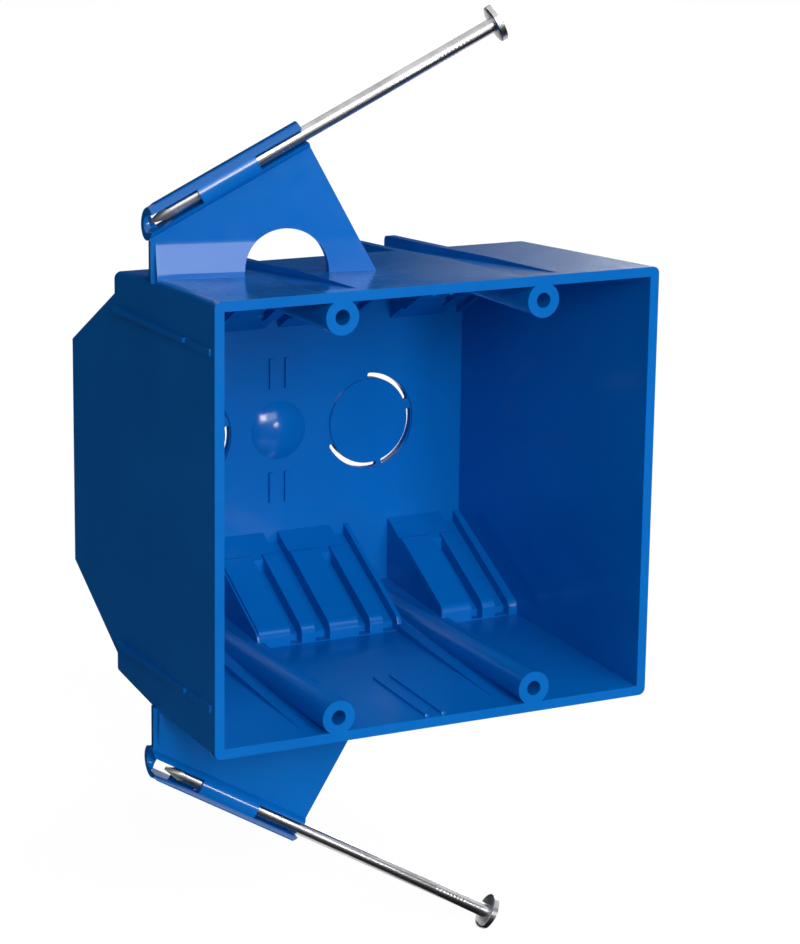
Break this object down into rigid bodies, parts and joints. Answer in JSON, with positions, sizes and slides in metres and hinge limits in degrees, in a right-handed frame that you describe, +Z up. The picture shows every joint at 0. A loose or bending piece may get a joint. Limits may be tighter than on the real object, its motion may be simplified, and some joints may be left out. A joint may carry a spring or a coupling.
{
  "type": "electrical box",
  "caption": "Blue moulded plastic wall box for side-by-side wiring devices, with sloped cable clamps, round knockouts and nailing ears that hold slanted steel nails.",
  "frame": {"origin": "middle of the four device screw holes, in the plane of the front rim", "axes": "+X to the right seen from the front, away from the stud; +Y into the box, from the rim to the back wall; +Z up, along the long side of a gang"},
  "size_m": [0.1019, 0.08, 0.2023],
  "materials": {
    "blue_plastic": "glossy moulded",
    "nail_steel": "bright drawn"
  },
  "bodies": {
    "box": {"box": "blue_plastic"},
    "upper_nail": {"upper_nail": "nail_steel"},
    "lower_nail": {"lower_nail": "nail_steel"}
  },
  "joints": [
    {"name": "upper_nail_drive", "type": "slide", "parent": "box", "child": "upper_nail", "axis": [-0.858, 0.1902, -0.4772], "range_m": [0, 0.0452]},
    {"name": "lower_nail_drive", "type": "slide", "parent": "box", "child": "lower_nail", "axis": [-0.858, 0.1902, 0.4772], "range_m": [0, 0.0479]}
  ]
}
